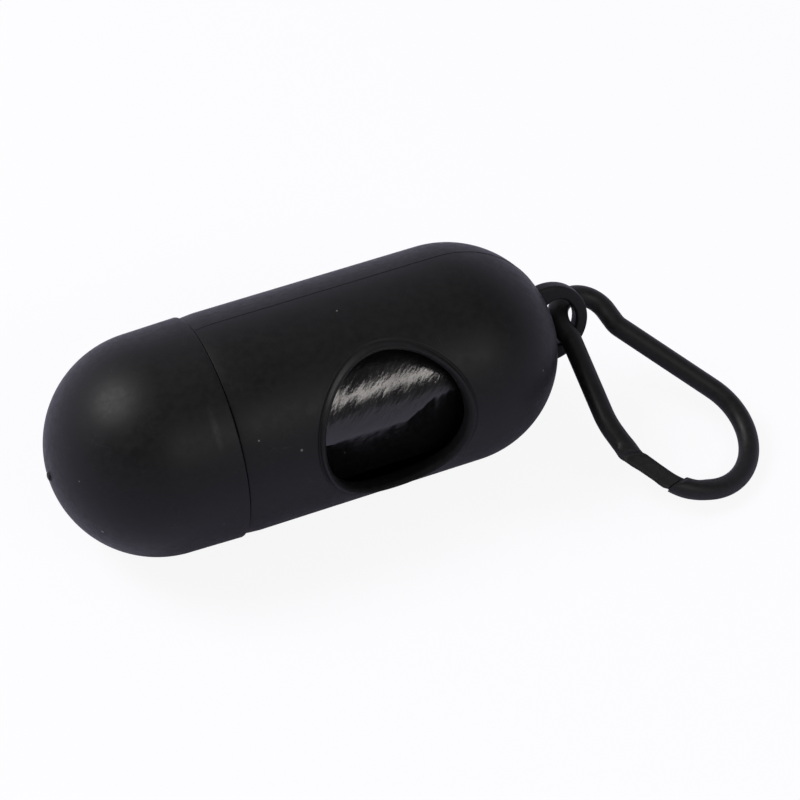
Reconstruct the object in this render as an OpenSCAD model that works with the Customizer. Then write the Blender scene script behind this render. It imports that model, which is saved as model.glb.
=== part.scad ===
// Capsule dispenser for a roll of dog waste bags, with a screw cap and a plastic carabiner.
// It lies on a flat surface: +X runs along the capsule from the cap to the carabiner,
// +Z is up, and the window looks towards -Y.

/* [Bag roll] */
// Outside diameter of the full roll of bags
roll_d = 28.4; // [24:0.1:32]
// Outside diameter of the paper core
core_d = 11; // [8:0.5:14]
// Wall of the paper core
core_wall = 0.8; // [0.5:0.1:1.5]
// Thickness of the outermost bag, folded and wound round the roll
lead_bag_t = 0.3; // [0.2:0.05:0.6]
// Arc that the outermost bag covers, in degrees
lead_bag_arc = 342; // [300:1:350]
// Room between the roll and the neck that it lies in
roll_clear = 0.3; // [0.2:0.05:0.6]
// How far the axis of the roll lies below the axis of the capsule
roll_sag = 0.8; // [0.3:0.1:1.5]
// Lean of that drop toward the window, from straight down, in degrees
roll_lean = 35; // [0:5:60]
// Room between the end of the roll and the inside of the cap
roll_end_clear = 0.9; // [0.5:0.1:2]
// Distance from the closed end of the roll to the centre of that dome
roll_back = 1.5; // [0.5:0.1:4]

/* [Case] */
// Distance between the centres of the two domes
straight_l = 51.4; // [44:0.1:60]
// Wall of the case
wall = 1.6; // [1.2:0.1:2.2]
// Step of the case below the rim of the cap
case_step = 0.2; // [0.1:0.05:0.4]
// Depth of the taper at the shoulder beside the cap
shoulder_drop = 0.25; // [0.1:0.05:0.5]
// Length of the taper at the shoulder
shoulder_l = 3; // [1:0.5:6]

/* [Neck and cap] */
// Length of the screw neck inside the cap
neck_l = 8; // [6:0.1:8.4]
// Wall of the screw neck
neck_wall = 1.3; // [1:0.1:1.6]
// Room between neck and cap, which the screw threads fill
thread_room = 0.7; // [0.5:0.05:1]
// Wall of the cap
cap_wall = 1.4; // [1.2:0.1:2]
// Length of the straight skirt of the cap
cap_skirt_l = 8.6; // [8.5:0.1:11]
// Gap between the rim of the cap and the shoulder of the case
seam_gap = 0.25; // [0.2:0.05:0.5]
// Diameter of the moulding nub on the end of the cap
nub_d = 1.4; // [1:0.1:2.5]
// Height of the moulding nub
nub_h = 0.35; // [0.2:0.05:0.6]

/* [Window] */
// Diameter of the window
window_d = 24.8; // [20:0.1:26]
// Width of the collar round the window
collar_w = 1.2; // [0.8:0.1:2]
// How far the collar stands proud of the case
collar_proud = 0.5; // [0.2:0.05:0.8]
// How far the collar reaches inwards past the wall
collar_in = 0.7; // [0.3:0.05:0.9]
// Distance from the centre of the window to the centre of the closed dome
window_back = 16.5; // [15:0.1:18]
// Direction of the window and of the lug above the horizontal, in degrees
mould_tilt = 15; // [0:1:25]

/* [Lug] */
// Outside diameter of the lug
lug_d = 14.2; // [13.8:0.1:15]
// Diameter of the eye in the lug
eye_d = 10; // [9.6:0.1:10.4]
// Thickness of the lug
lug_t = 2.4; // [2:0.1:2.8]
// Rounding of the edges of the lug
lug_edge_r = 0.5; // [0.2:0.05:0.8]

/* [Carabiner] */
// Diameter of the round bar
bar_d = 3.5; // [3:0.1:3.7]
// Radius of the small pocket that holds the lug, to the middle of the bar
pocket_r = 5.05; // [4.8:0.05:5.4]
// Room between the pocket and the dome, along the capsule
pocket_gap = 0.2; // [0.1:0.05:0.6]
// Height of the pocket's centre below the axis of the capsule
pocket_drop = 2; // [1:0.1:3]
// Direction in which the carabiner lies, turned from +X, in degrees
lie_turn = -48.7; // [-55:0.5:-20]
// Slope of the short neck between the pocket and the spine, in degrees
neck_slope = 25.6; // [15:0.5:35]
// Length of that neck
neck_run = 2.3; // [1:0.1:5]
// Slope of the spine, in degrees
spine_slope = 1.3; // [0:0.1:4]
// Length of the straight spine
spine_l = 18.9; // [17:0.1:30]
// Radius of the large bend, to the middle of the bar
bend_r = 11.1; // [10:0.1:12]
// Distance from the pocket's centre to the gate arm's centre line
arm_off = 4.2; // [3.6:0.1:4.6]
// Slope of the gate arm, in degrees
arm_slope = 41.3; // [38:0.5:46]
// Radius of the elbow in the gate arm, to the middle of the bar
elbow_r = 14.7; // [8:0.1:15]
// Radius of the two small reverse bends beside the pocket
turn_r = 3; // [2:0.1:4]

/* [Gate] */
// Distance along the arm from its start to the place where it bends
flex_run = 2.3; // [2.2:0.1:5]
// Distance from the bending place to the step where the gate's tongue starts
step_reach = 19.9; // [19:0.1:20.5]
// Length of the tongue beyond that step
tongue_l = 8.6; // [6:0.1:9]
// Gap between the faces of the lap
lap_gap = 0.3; // [0.2:0.05:0.6]
// Flat taken off the top of the tongue
tongue_flat = 0.45; // [0.2:0.05:0.7]
// Reach of the tongue from its centre line towards the inside of the loop
tongue_in = 0.6; // [0.3:0.05:1]
// Reach of the tongue from its centre line towards the outside of the loop
tongue_out = 1.35; // [1:0.05:1.6]
// Shift of the nose towards the inside of the loop
nose_shift = 0.35; // [0:0.05:0.6]
// Width of the nose
nose_w = 2.4; // [2:0.05:2.8]
// Room between the end of the nose and the step of the gate
nose_room = 0.4; // [0.3:0.05:1]
// Gap between the end of the tongue and the shoulder of the hook
tongue_room = 0.35; // [0.2:0.05:0.8]

/* [Hidden] */
$fn = 96;
overlap = 0.01;
past = 1;
far = 200;
lip = 0.02;
bite = 0.2;
tip_spare = 0.15;

// Radii, from the roll outwards
roll_r = roll_d / 2;
neck_in_r = roll_r + roll_sag + roll_clear;
neck_r = neck_in_r + neck_wall;
cap_in_r = neck_r + thread_room;
rim_r = cap_in_r + cap_wall;
case_r = rim_r - case_step;
case_in_r = case_r - wall;
cap_dome_in_r = case_r - cap_wall;

// Stations along the capsule, measured from the middle between the two domes
dome_x = straight_l / 2;
cap_x = -straight_l / 2;
rim_x = cap_x + cap_skirt_l;
shoulder_x = rim_x + seam_gap;
neck_end_x = shoulder_x - neck_l;
apex_x = dome_x + case_r;
window_x = dome_x - window_back;
roll_x1 = dome_x - roll_back;
roll_reach = sqrt(pow(cap_dome_in_r, 2) - pow(roll_r + roll_sag, 2)) - roll_end_clear;
roll_x0 = cap_x - roll_reach;

// Carabiner outline in its own plane: origin at the centre of the pocket,
// x along the loop, y towards the spine
bar_r = bar_d / 2;
arm_in = [sin(arm_slope), cos(arm_slope)];
arm_dir = [cos(arm_slope), -sin(arm_slope)];
turn_run = sqrt(pow(pocket_r + turn_r, 2) - pow(arm_off + turn_r, 2));
turn_c = arm_dir * turn_run - arm_in * (arm_off + turn_r);
turn_at = atan2(turn_c.y, turn_c.x);
arm_a = arm_dir * turn_run - arm_in * arm_off;
flex_pt = arm_a + arm_dir * flex_run;
neck_dir = [cos(neck_slope), -sin(neck_slope)];
neck_a = [sin(neck_slope), cos(neck_slope)] * pocket_r;
neck_b = neck_a + neck_dir * neck_run;
neck_c = neck_b + [sin(neck_slope), cos(neck_slope)] * turn_r;
spine_a = neck_c + [sin(spine_slope), -cos(spine_slope)] * turn_r;
spine_b = spine_a + [cos(spine_slope), sin(spine_slope)] * spine_l;
bend_c = spine_b + [sin(spine_slope), -cos(spine_slope)] * bend_r;
lap_y = bend_c.y - bend_r;
corner_x = (-arm_off - arm_in.y * lap_y) / arm_in.x;
arm_l = norm([corner_x, lap_y] - arm_a);
elbow_fit = min(elbow_r, (arm_l - flex_run) / tan(arm_slope / 2));
elbow_run = elbow_fit * tan(arm_slope / 2);
elbow_x = corner_x + elbow_run;
elbow_c = [elbow_x, lap_y + elbow_fit];
elbow_a = [corner_x, lap_y] - arm_dir * elbow_run;
tongue_reach = step_reach + tongue_l;
shoulder_reach = tongue_reach + tongue_room;
nose_tip_r = nose_w / 2 + tip_spare;
nose_reach = step_reach + nose_room + nose_tip_r;
nose_y = lap_y + nose_shift + bar_r - nose_w / 2;
nose_x = flex_pt.x + sqrt(pow(nose_reach, 2) - pow(nose_y - flex_pt.y, 2));
shoulder_x1 = flex_pt.x + sqrt(pow(shoulder_reach, 2) - pow(lap_y - flex_pt.y, 2));
grip_angle = asin((shoulder_x1 + 2 * past - bend_c.x) / bend_r);
sweep_angle = arm_slope / 2;
bite_angle = 2.5;

// The carabiner slopes from the lug down to the surface
pocket_pt = [apex_x + pocket_r + bar_r + pocket_gap, -0.4, -pocket_drop];
lie_slope = asin((rim_r - pocket_drop - bar_r) / (bend_c.x + bend_r));
along = [cos(lie_turn) * cos(lie_slope), sin(lie_turn) * cos(lie_slope), -sin(lie_slope)];
across = [-sin(lie_turn), cos(lie_turn), 0];
upright = cross(along, across);

// Box of the whole object, which puts the origin below its middle
bend_mid = pocket_pt + along * bend_c.x + across * bend_c.y;
max_x = bend_mid.x + bend_r * sqrt(1 - pow(upright.x, 2)) + bar_r;
min_x = cap_x - case_r - nub_h;
min_y = bend_mid.y - bend_r * sqrt(1 - pow(upright.y, 2)) - bar_r;
max_y = rim_r;
to_row = [-(min_x + max_x) / 2, -(min_y + max_y) / 2, rim_r];

// ---- shared shapes ----

// Places a child that is drawn on the capsule's own axis
module in_row() {
    translate(to_row) children();
}

// Cylinder along X from x0 to x1, which may change radius
module rod_x(x0, x1, r0, r1) {
    translate([x0, 0, 0]) rotate([0, 90, 0]) cylinder(h = x1 - x0, r1 = r0, r2 = r1);
}

// Half ball towards -X or +X, which closes a tube at x
module dome(x, r, side) {
    intersection() {
        translate([x, 0, 0]) sphere(r = r);
        translate([side > 0 ? x - overlap : x - far, -far / 2, -far / 2])
            cube([far + overlap, far, far]);
    }
}

// Points a child's +Z the way that the window and the lug face
module mould_side() {
    rotate([90 - mould_tilt, 0, 0]) children();
}

// Places a child that is drawn in the carabiner's own plane
module in_loop() {
    in_row() translate(pocket_pt) rotate([0, lie_slope, lie_turn]) children();
}

// Straight length of round bar in the loop's plane, which bites into the bends at its ends
module bar(a, b) {
    run = b - a;
    start = a - run * bite / norm(run);
    translate([start.x, start.y, 0]) rotate([0, 0, atan2(run.y, run.x)])
        rotate([0, 90, 0]) cylinder(h = norm(run) + 2 * bite, r = bar_r - lip, $fn = 48);
}

// Bent length of round bar, turning from angle a0 to a1 about c
module bent_bar(c, r, a0, a1, thick = bar_r) {
    translate([c.x, c.y, 0]) rotate([0, 0, a0])
        rotate_extrude(angle = a1 - a0) translate([r, 0]) circle(r = thick, $fn = 48);
}

// Ball at the root of the gate arm, with its poles along the arm
module root_ball(r) {
    translate([flex_pt.x, flex_pt.y, 0]) rotate([0, 0, -arm_slope])
        rotate([0, 90, 0]) sphere(r = r, $fn = 48);
}

// Section of the lap: a slice of round bar. x is towards the outside of the loop.
module lap_slice(shift, x0, x1, z0, z1, shy) {
    intersection() {
        translate([-shift, 0]) circle(r = bar_r - shy, $fn = 48);
        translate([x0 + shy, z0 + shy]) square([x1 - x0 - 2 * shy, z1 - z0 - 2 * shy]);
    }
}

// Sweeps the lap's section round the elbow, along the straight and into the large bend
module lap_sweep(from_angle, to_angle, shift, x0, x1, z0, z1) {
    translate([elbow_c.x, elbow_c.y, 0]) rotate([0, 0, -90 - from_angle])
        rotate_extrude(angle = from_angle)
            translate([elbow_fit, 0]) lap_slice(shift, x0, x1, z0, z1, lip);
    translate([elbow_x - bite, lap_y, 0]) rotate([90, 0, 90])
        linear_extrude(bend_c.x - elbow_x + 2 * bite)
            mirror([1, 0]) lap_slice(shift, x0, x1, z0, z1, 2 * lip);
    translate([bend_c.x, bend_c.y, 0]) rotate([0, 0, -90])
        rotate_extrude(angle = to_angle)
            translate([bend_r, 0]) lap_slice(shift, x0, x1, z0, z1, lip);
}

// ---- case ----

module case_shell() {
    difference() {
        union() {
            dome(dome_x, case_r, 1);
            rod_x(shoulder_x + shoulder_l, dome_x, case_r, case_r);
            rod_x(shoulder_x, shoulder_x + shoulder_l, case_r - shoulder_drop, case_r);
            rod_x(neck_end_x, shoulder_x + overlap, neck_r, neck_r);
        }
        dome(dome_x, case_in_r, 1);
        rod_x(shoulder_x + wall, dome_x, case_in_r, case_in_r);
        rod_x(neck_end_x - past, shoulder_x + wall + overlap, neck_in_r, neck_in_r);
    }
}

// Ring round the window, cut to follow the curve of the case
module window_collar() {
    intersection() {
        translate([window_x, 0, 0]) mould_side() cylinder(h = far, r = window_d / 2 + collar_w);
        difference() {
            rod_x(shoulder_x, dome_x + window_d, case_r + collar_proud, case_r + collar_proud);
            rod_x(0 - far, far, case_in_r - collar_in, case_in_r - collar_in);
        }
    }
}

// Flat eye on the crown of the dome, with rounded edges
module lug() {
    flat = lug_t / 2 - lug_edge_r;
    translate([apex_x, 0, 0]) mould_side() rotate_extrude()
        for (side = [-1, 1]) {
            translate([eye_d / 2 + lug_edge_r, side * flat]) circle(r = lug_edge_r, $fn = 32);
            translate([lug_d / 2 - lug_edge_r, side * flat]) circle(r = lug_edge_r, $fn = 32);
            translate([eye_d / 2, -flat]) square([(lug_d - eye_d) / 2, 2 * flat]);
            translate([eye_d / 2 + lug_edge_r, -lug_t / 2])
                square([(lug_d - eye_d) / 2 - 2 * lug_edge_r, lug_t]);
        }
}

module dispenser_body() {
    color([0.08, 0.08, 0.09]) in_row() {
        difference() {
            union() {
                case_shell();
                window_collar();
            }
            translate([window_x, 0, 0]) mould_side() cylinder(h = far, r = window_d / 2);
        }
        difference() {
            lug();
            translate([dome_x, 0, 0]) sphere(r = case_in_r + wall / 2);
        }
    }
}

module screw_cap() {
    color([0.09, 0.09, 0.1]) in_row() difference() {
        union() {
            dome(cap_x, case_r, -1);
            rod_x(cap_x, rim_x, case_r, rim_r);
            rod_x(cap_x - case_r - nub_h, cap_x - case_r + cap_wall / 2, nub_d / 2, nub_d / 2);
        }
        dome(cap_x, cap_dome_in_r, -1);
        rod_x(cap_x, rim_x + past, cap_dome_in_r, cap_in_r);
        rod_x(neck_end_x - past / 2, rim_x + past, cap_in_r, cap_in_r);
    }
}

// ---- carabiner ----

// Round bar from the elbow through the lap and round the large bend
module lap_bar() {
    bent_bar(elbow_c, elbow_fit, -90 - arm_slope, -90);
    bar([elbow_x, lap_y], [bend_c.x, lap_y]);
    bent_bar(bend_c, bend_r, -90, 90 + spine_slope);
}

// Everything within a distance of the bending place, so that the gate swings clear
module within(reach) {
    translate([flex_pt.x, flex_pt.y, -far / 2]) cylinder(h = far, r = reach, $fn = 192);
}

module carabiner_hook() {
    color([0.1, 0.1, 0.11]) in_loop() {
        difference() {
            union() {
                bar(arm_a, flex_pt);
                bent_bar(turn_c, turn_r, 90 - arm_slope, 180 + turn_at, bar_r + lip);
                bent_bar([0, 0], pocket_r, 90 - neck_slope, 360 + turn_at + bite_angle);
                bar(neck_a, neck_b);
                bent_bar(neck_c, turn_r, -90 - neck_slope, -90 + spine_slope, bar_r + lip);
                bar(spine_a, spine_b);
            }
            root_ball(bar_r + lap_gap / 2);
        }
        difference() {
            bent_bar(bend_c, bend_r, -90, 90 + spine_slope);
            intersection() {
                within(shoulder_reach);
                translate([0, bend_c.y - far, -far / 2]) cube(far);
            }
        }
        intersection() {
            lap_sweep(sweep_angle, grip_angle, nose_shift,
                      -nose_shift - bar_r - past, nose_w - nose_shift - bar_r,
                      -bar_r - past, -lap_gap / 2);
            union() {
                translate([nose_x, nose_y, -far / 2])
                    cylinder(h = far, r = nose_tip_r, $fn = 48);
                difference() {
                    translate([0, -far / 2, -far / 2]) cube(far);
                    within(nose_reach);
                }
            }
        }
    }
}

module carabiner_gate() {
    color([0.11, 0.11, 0.12]) in_loop() {
        root_ball(bar_r - 3 * lip);
        bar(flex_pt, elbow_a);
        intersection() {
            lap_bar();
            within(step_reach);
        }
        intersection() {
            lap_sweep(sweep_angle, grip_angle, 0,
                      -tongue_in, tongue_out, lap_gap / 2, bar_r - tongue_flat);
            within(tongue_reach);
        }
    }
}

// ---- bag roll ----

module on_roll_axis() {
    in_row() translate([0, -roll_sag * sin(roll_lean), -roll_sag * cos(roll_lean)]) children();
}

module roll_core() {
    color([0.45, 0.43, 0.4]) on_roll_axis() difference() {
        rod_x(roll_x0, roll_x1, core_d / 2, core_d / 2);
        rod_x(roll_x0 - past, roll_x1 + past, core_d / 2 - core_wall, core_d / 2 - core_wall);
    }
}

module bag_roll() {
    color([0.05, 0.05, 0.06]) on_roll_axis() difference() {
        rod_x(roll_x0, roll_x1, roll_r - lead_bag_t, roll_r - lead_bag_t);
        rod_x(roll_x0 - past, roll_x1 + past, core_d / 2, core_d / 2);
    }
}

// Outermost bag: one turn of film whose free edge leaves a step
module lead_bag() {
    color([0.06, 0.06, 0.07]) on_roll_axis()
        translate([roll_x0, 0, 0]) rotate([0, 90, 0]) rotate([0, 0, -90])
            rotate_extrude(angle = lead_bag_arc)
                translate([roll_r - lead_bag_t, 0]) square([lead_bag_t, roll_x1 - roll_x0]);
}

dispenser_body();
screw_cap();
carabiner_hook();
carabiner_gate();
roll_core();
bag_roll();
lead_bag();
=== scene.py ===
import math
import random

import bmesh
import bpy
import numpy as np
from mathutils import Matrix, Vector


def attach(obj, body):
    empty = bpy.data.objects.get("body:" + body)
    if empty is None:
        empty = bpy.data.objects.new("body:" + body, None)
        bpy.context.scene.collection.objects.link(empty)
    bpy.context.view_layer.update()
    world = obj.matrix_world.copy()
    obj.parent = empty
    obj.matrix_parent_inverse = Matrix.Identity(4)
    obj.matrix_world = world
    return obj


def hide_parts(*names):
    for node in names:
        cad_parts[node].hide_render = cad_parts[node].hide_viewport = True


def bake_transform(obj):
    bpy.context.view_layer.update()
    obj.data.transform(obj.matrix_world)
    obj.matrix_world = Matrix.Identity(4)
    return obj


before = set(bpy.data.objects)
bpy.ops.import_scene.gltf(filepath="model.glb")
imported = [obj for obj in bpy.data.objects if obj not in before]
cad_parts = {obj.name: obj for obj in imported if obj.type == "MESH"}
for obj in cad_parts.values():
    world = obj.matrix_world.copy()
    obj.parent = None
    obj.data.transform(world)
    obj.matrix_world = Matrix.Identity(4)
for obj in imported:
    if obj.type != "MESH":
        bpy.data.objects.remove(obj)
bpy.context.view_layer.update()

# ---------------------------------------------------------------- sizes, in millimetres
# Everything is drawn on the capsule's own axis and then moved to the row frame.
ROW = np.array([-14.185, 7.895, 18.7])
TILT = math.radians(15.0)
CAP_X = -25.7
DOME_X = 25.7
CASE_R = 18.5
CASE_IN_R = 16.9
RIM_R = 18.7
RIM_X = -16.98
SHOULDER_X = -16.85
SHOULDER_DROP = 0.25
SHOULDER_L = 3.0
NECK_L = 8.0
NECK_R = 16.6
NECK_IN_R = 15.3
CAP_IN_R = 17.3
CAP_DOME_IN_R = 17.1
APEX_X = DOME_X + CASE_R
NUB_H = 0.35
THREAD_H = 0.33
THREAD_PITCH = 3.0
THREAD_HALF = 0.55
WINDOW_X = 9.2
WINDOW_R = 12.4
COLLAR_TOP = 19.0
COLLAR_IN = 16.2
LUG_R = 7.1
EYE_R = 5.0
EYE_FLAT_R = 3.4
LUG_HALF = 1.2
ROLL_Y = -0.8 * math.sin(math.radians(35.0))
ROLL_Z = -0.8 * math.cos(math.radians(35.0))
ROLL_R = 14.2
LEAD_T = 0.3
LEAD_ARC = 342.0
LEAD_EDGE = 78.0
FLAT_HALF = math.radians(28.0)
FLAT_MIDDLE = -14.0
ROLL_X0 = -33.0
ROLL_X1 = 24.2

# Directions across the capsule: out of the window, and up along the parting line
OUT = np.array([0.0, -math.cos(TILT), math.sin(TILT)])
UPV = np.array([0.0, math.sin(TILT), math.cos(TILT)])
AX = np.array([1.0, 0.0, 0.0])


def row(p):
    return tuple((np.asarray(p, float) + ROW) / 1000.0)


# ---------------------------------------------------------------- mesh helpers
def mesh_object(name, verts, faces, smooth=True):
    mesh = bpy.data.meshes.new(name)
    mesh.from_pydata([row(p) for p in verts], [], faces)
    mesh.validate()
    bm = bmesh.new()
    bm.from_mesh(mesh)
    bmesh.ops.recalc_face_normals(bm, faces=bm.faces)
    bm.to_mesh(mesh)
    bm.free()
    for poly in mesh.polygons:
        poly.use_smooth = smooth
    obj = bpy.data.objects.new(name, mesh)
    bpy.context.scene.collection.objects.link(obj)
    return obj


def sharpen(obj, degrees):
    obj.data.set_sharp_from_angle(angle=math.radians(degrees))


def revolve(name, profile):
    """Turns a closed profile of (x, radius) points about the capsule's axis."""
    steps = 256
    verts, rings = [], []
    for x, r in profile:
        if r < 1e-6:
            rings.append([len(verts)])
            verts.append((x, 0.0, 0.0))
        else:
            rings.append(list(range(len(verts), len(verts) + steps)))
            for i in range(steps):
                a = 2 * math.pi * i / steps
                verts.append((x, r * math.cos(a), r * math.sin(a)))
    faces = []
    for ra, rb in zip(rings, rings[1:] + rings[:1]):
        for i in range(steps):
            j = (i + 1) % steps
            if len(ra) == 1 and len(rb) == 1:
                continue
            if len(ra) == 1:
                faces.append((ra[0], rb[i], rb[j]))
            elif len(rb) == 1:
                faces.append((ra[i], rb[0], ra[j]))
            else:
                faces.append((ra[i], rb[i], rb[j], ra[j]))
    return mesh_object(name, verts, faces)


def grid_faces(rows, cols, wrap_rows, wrap_cols, base=0):
    faces = []
    for i in range(rows if wrap_rows else rows - 1):
        for j in range(cols if wrap_cols else cols - 1):
            a = base + i * cols + j
            b = base + i * cols + (j + 1) % cols
            c = base + ((i + 1) % rows) * cols + (j + 1) % cols
            d = base + ((i + 1) % rows) * cols + j
            faces.append((a, b, c, d))
    return faces


def arc(cx, cy, r, a0, a1, steps):
    out = []
    for i in range(steps + 1):
        a = math.radians(a0 + (a1 - a0) * i / steps)
        out.append((cx + r * math.cos(a), cy + r * math.sin(a)))
    return out


def ease(x, lo, hi):
    t = min(max((x - lo) / (hi - lo), 0.0), 1.0)
    return t * t * (3 - 2 * t)


def mix(a, b, t):
    return tuple(p + (q - p) * t for p, q in zip(a, b))


def cut(obj, cutter):
    mod = obj.modifiers.new("cut", "BOOLEAN")
    mod.operation = "DIFFERENCE"
    mod.solver = "EXACT"
    mod.object = cutter
    bpy.context.view_layer.update()
    deps = bpy.context.evaluated_depsgraph_get()
    new = bpy.data.meshes.new_from_object(obj.evaluated_get(deps))
    obj.modifiers.clear()
    obj.data = new
    bpy.data.objects.remove(cutter)


# ---------------------------------------------------------------- case
def case_profile():
    neck_end = SHOULDER_X - NECK_L
    outer = [(neck_end, NECK_IN_R + 0.2), (neck_end, NECK_R - 0.2)]
    outer += [(neck_end + 0.2, NECK_R), (SHOULDER_X, NECK_R)]
    top = CASE_R - SHOULDER_DROP
    outer += [(SHOULDER_X, top - 0.3)]
    outer += arc(SHOULDER_X + 0.25, top - 0.25, 0.25, 180, 90, 4)
    outer += [(SHOULDER_X + 1.2, top + 0.12), (SHOULDER_X + SHOULDER_L, CASE_R)]
    outer += [(x, CASE_R) for x in np.linspace(SHOULDER_X + SHOULDER_L + 1, DOME_X - 1, 30)]
    outer += arc(DOME_X, 0.0, CASE_R, 90, 0, 72)[:-1] + [(APEX_X, 0.0)]
    inner = [(DOME_X + CASE_IN_R, 0.0)] + arc(DOME_X, 0.0, CASE_IN_R, 0, 90, 48)[1:]
    inner += [(SHOULDER_X + 1.6, CASE_IN_R), (SHOULDER_X + 1.6, NECK_IN_R)]
    inner += [(neck_end, NECK_IN_R)]
    return outer + inner


def along_window(rho, theta, height):
    """A point at distance rho from the window's axis, lying at the given radius of the capsule."""
    u = rho * math.cos(theta)
    v = rho * math.sin(theta)
    d = math.sqrt(max(height * height - v * v, 0.0))
    return AX * (WINDOW_X + u) + UPV * v + OUT * d


def window_cutter(radius):
    steps = 160
    verts = []
    for d in (6.0, 30.0):
        for i in range(steps):
            a = 2 * math.pi * i / steps
            p = AX * (WINDOW_X + radius * math.cos(a)) + UPV * (radius * math.sin(a)) + OUT * d
            verts.append(p)
    faces = grid_faces(2, steps, False, True)
    faces.append(tuple(range(steps)))
    faces.append(tuple(range(2 * steps - 1, steps - 1, -1)))
    return mesh_object("cutter", verts, faces, smooth=False)


def make_case():
    case = revolve("case_shell", case_profile())
    cut(case, window_cutter(WINDOW_R + 1.7))
    sharpen(case, 35)
    return case


def make_collar():
    prof = [(WINDOW_R, COLLAR_IN + 0.15), (WINDOW_R, 17.9), (WINDOW_R + 0.06, COLLAR_TOP - 0.85)]
    prof += [(WINDOW_R + 0.5, COLLAR_TOP - 0.22), (WINDOW_R + 0.62, COLLAR_TOP - 0.07)]
    prof += [(WINDOW_R + 0.78, COLLAR_TOP), (WINDOW_R + 0.92, COLLAR_TOP - 0.06)]
    prof += [(WINDOW_R + 1.02, COLLAR_TOP - 0.2), (WINDOW_R + 1.08, CASE_R + 0.05)]
    prof += [(WINDOW_R + 1.14, CASE_R - 0.08), (WINDOW_R + 1.25, CASE_R - 0.14)]
    prof += [(WINDOW_R + 1.38, CASE_R - 0.12), (WINDOW_R + 1.5, CASE_R - 0.02)]
    prof += [(WINDOW_R + 1.64, CASE_R + 0.02), (WINDOW_R + 1.9, CASE_R + 0.015)]
    prof += [(WINDOW_R + 2.2, CASE_R - 0.03), (WINDOW_R + 2.2, CASE_R - 0.8)]
    prof += [(WINDOW_R + 1.1, CASE_IN_R + 0.1), (WINDOW_R + 1.1, COLLAR_IN + 0.15)]
    prof += [(WINDOW_R + 0.95, COLLAR_IN), (WINDOW_R + 0.15, COLLAR_IN)]
    steps = 256
    verts = []
    for rho, h in prof:
        for i in range(steps):
            verts.append(along_window(rho, 2 * math.pi * i / steps, h))
    collar = mesh_object("window_collar", verts, grid_faces(len(prof), steps, True, True))
    sharpen(collar, 50)
    return collar


def make_lug():
    """Ring at the end of the case. Its eye is flattened on the side of the dome."""
    edge = 0.5
    flat = LUG_HALF - edge
    inner = arc(edge, flat, edge, 180, 90, 6)
    outer = arc(-edge, flat, edge, 90, 0, 6) + arc(-edge, -flat, edge, 0, -90, 6)
    inner_low = arc(edge, -flat, edge, -90, -180, 6)
    prof = [(0, d, h) for d, h in inner] + [(1, d, h) for d, h in outer]
    prof += [(0, d, h) for d, h in inner_low]
    steps = 160
    verts = []
    for at_rim, d, h in prof:
        for i in range(steps):
            a = 2 * math.pi * i / steps
            eye = EYE_FLAT_R + (EYE_R - EYE_FLAT_R) * ease(math.cos(a), -0.3, 0.75)
            rho = (LUG_R if at_rim else eye) + d
            verts.append(AX * (APEX_X + rho * math.cos(a)) + UPV * (rho * math.sin(a)) + OUT * h)
    return mesh_object("lug_eye", verts, grid_faces(len(prof), steps, True, True))


def strip(name, path, normals, side, half, height):
    """A low rounded ridge that follows a path on a surface."""
    shape = [(-1.0, -0.4), (-0.62, 0.35), (-0.25, 0.85), (0.25, 0.85), (0.62, 0.35), (1.0, -0.4)]
    verts = []
    for p, n in zip(path, normals):
        for s, h in shape:
            verts.append(np.asarray(p) + side * (s * half) + np.asarray(n) * (h * height))
    return mesh_object(name, verts, grid_faces(len(path), len(shape), False, False))


def make_parting(sign):
    path, normals = [], []
    for x in np.linspace(SHOULDER_X + 0.4, DOME_X, 50):
        r = CASE_R - max(0.0, SHOULDER_X + SHOULDER_L - x) / SHOULDER_L * SHOULDER_DROP
        path.append(AX * x + UPV * (sign * r))
        normals.append(UPV * sign)
    for a in np.linspace(0, 78, 40)[1:]:
        n = AX * math.sin(math.radians(a)) + UPV * (sign * math.cos(math.radians(a)))
        path.append(AX * DOME_X + n * CASE_R)
        normals.append(n)
    name = "parting_line_top" if sign > 0 else "parting_line_under"
    return strip(name, path, normals, OUT, 0.15, 0.07)


# ---------------------------------------------------------------- cap
def cap_profile():
    prof = [(CAP_X - CASE_R - NUB_H, 0.0), (CAP_X - CASE_R - NUB_H, 0.45)]
    prof += [(CAP_X - CASE_R - 0.28, 0.62), (CAP_X - CASE_R - 0.1, 0.7)]
    start = math.degrees(math.asin(0.85 / CASE_R))
    prof += arc(CAP_X, 0.0, CASE_R, 180 - start, 90, 72)
    for x in np.linspace(CAP_X, RIM_X, 10)[1:-1]:
        prof.append((x, CASE_R + (RIM_R - CASE_R) * (x - CAP_X) / (RIM_X - CAP_X)))
    prof += arc(RIM_X - 0.22, RIM_R - 0.22, 0.22, 85, 0, 4)
    prof += [(RIM_X, CAP_IN_R + 0.2), (RIM_X - 0.2, CAP_IN_R)]
    prof += [(SHOULDER_X - NECK_L, CAP_IN_R), (CAP_X, CAP_DOME_IN_R)]
    prof += arc(CAP_X, 0.0, CAP_DOME_IN_R, 90, 180, 48)[1:-1] + [(CAP_X - CAP_DOME_IN_R, 0.0)]
    return prof


def make_cap():
    cap = revolve("cap_shell", cap_profile())
    sharpen(cap, 35)
    return cap


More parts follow.
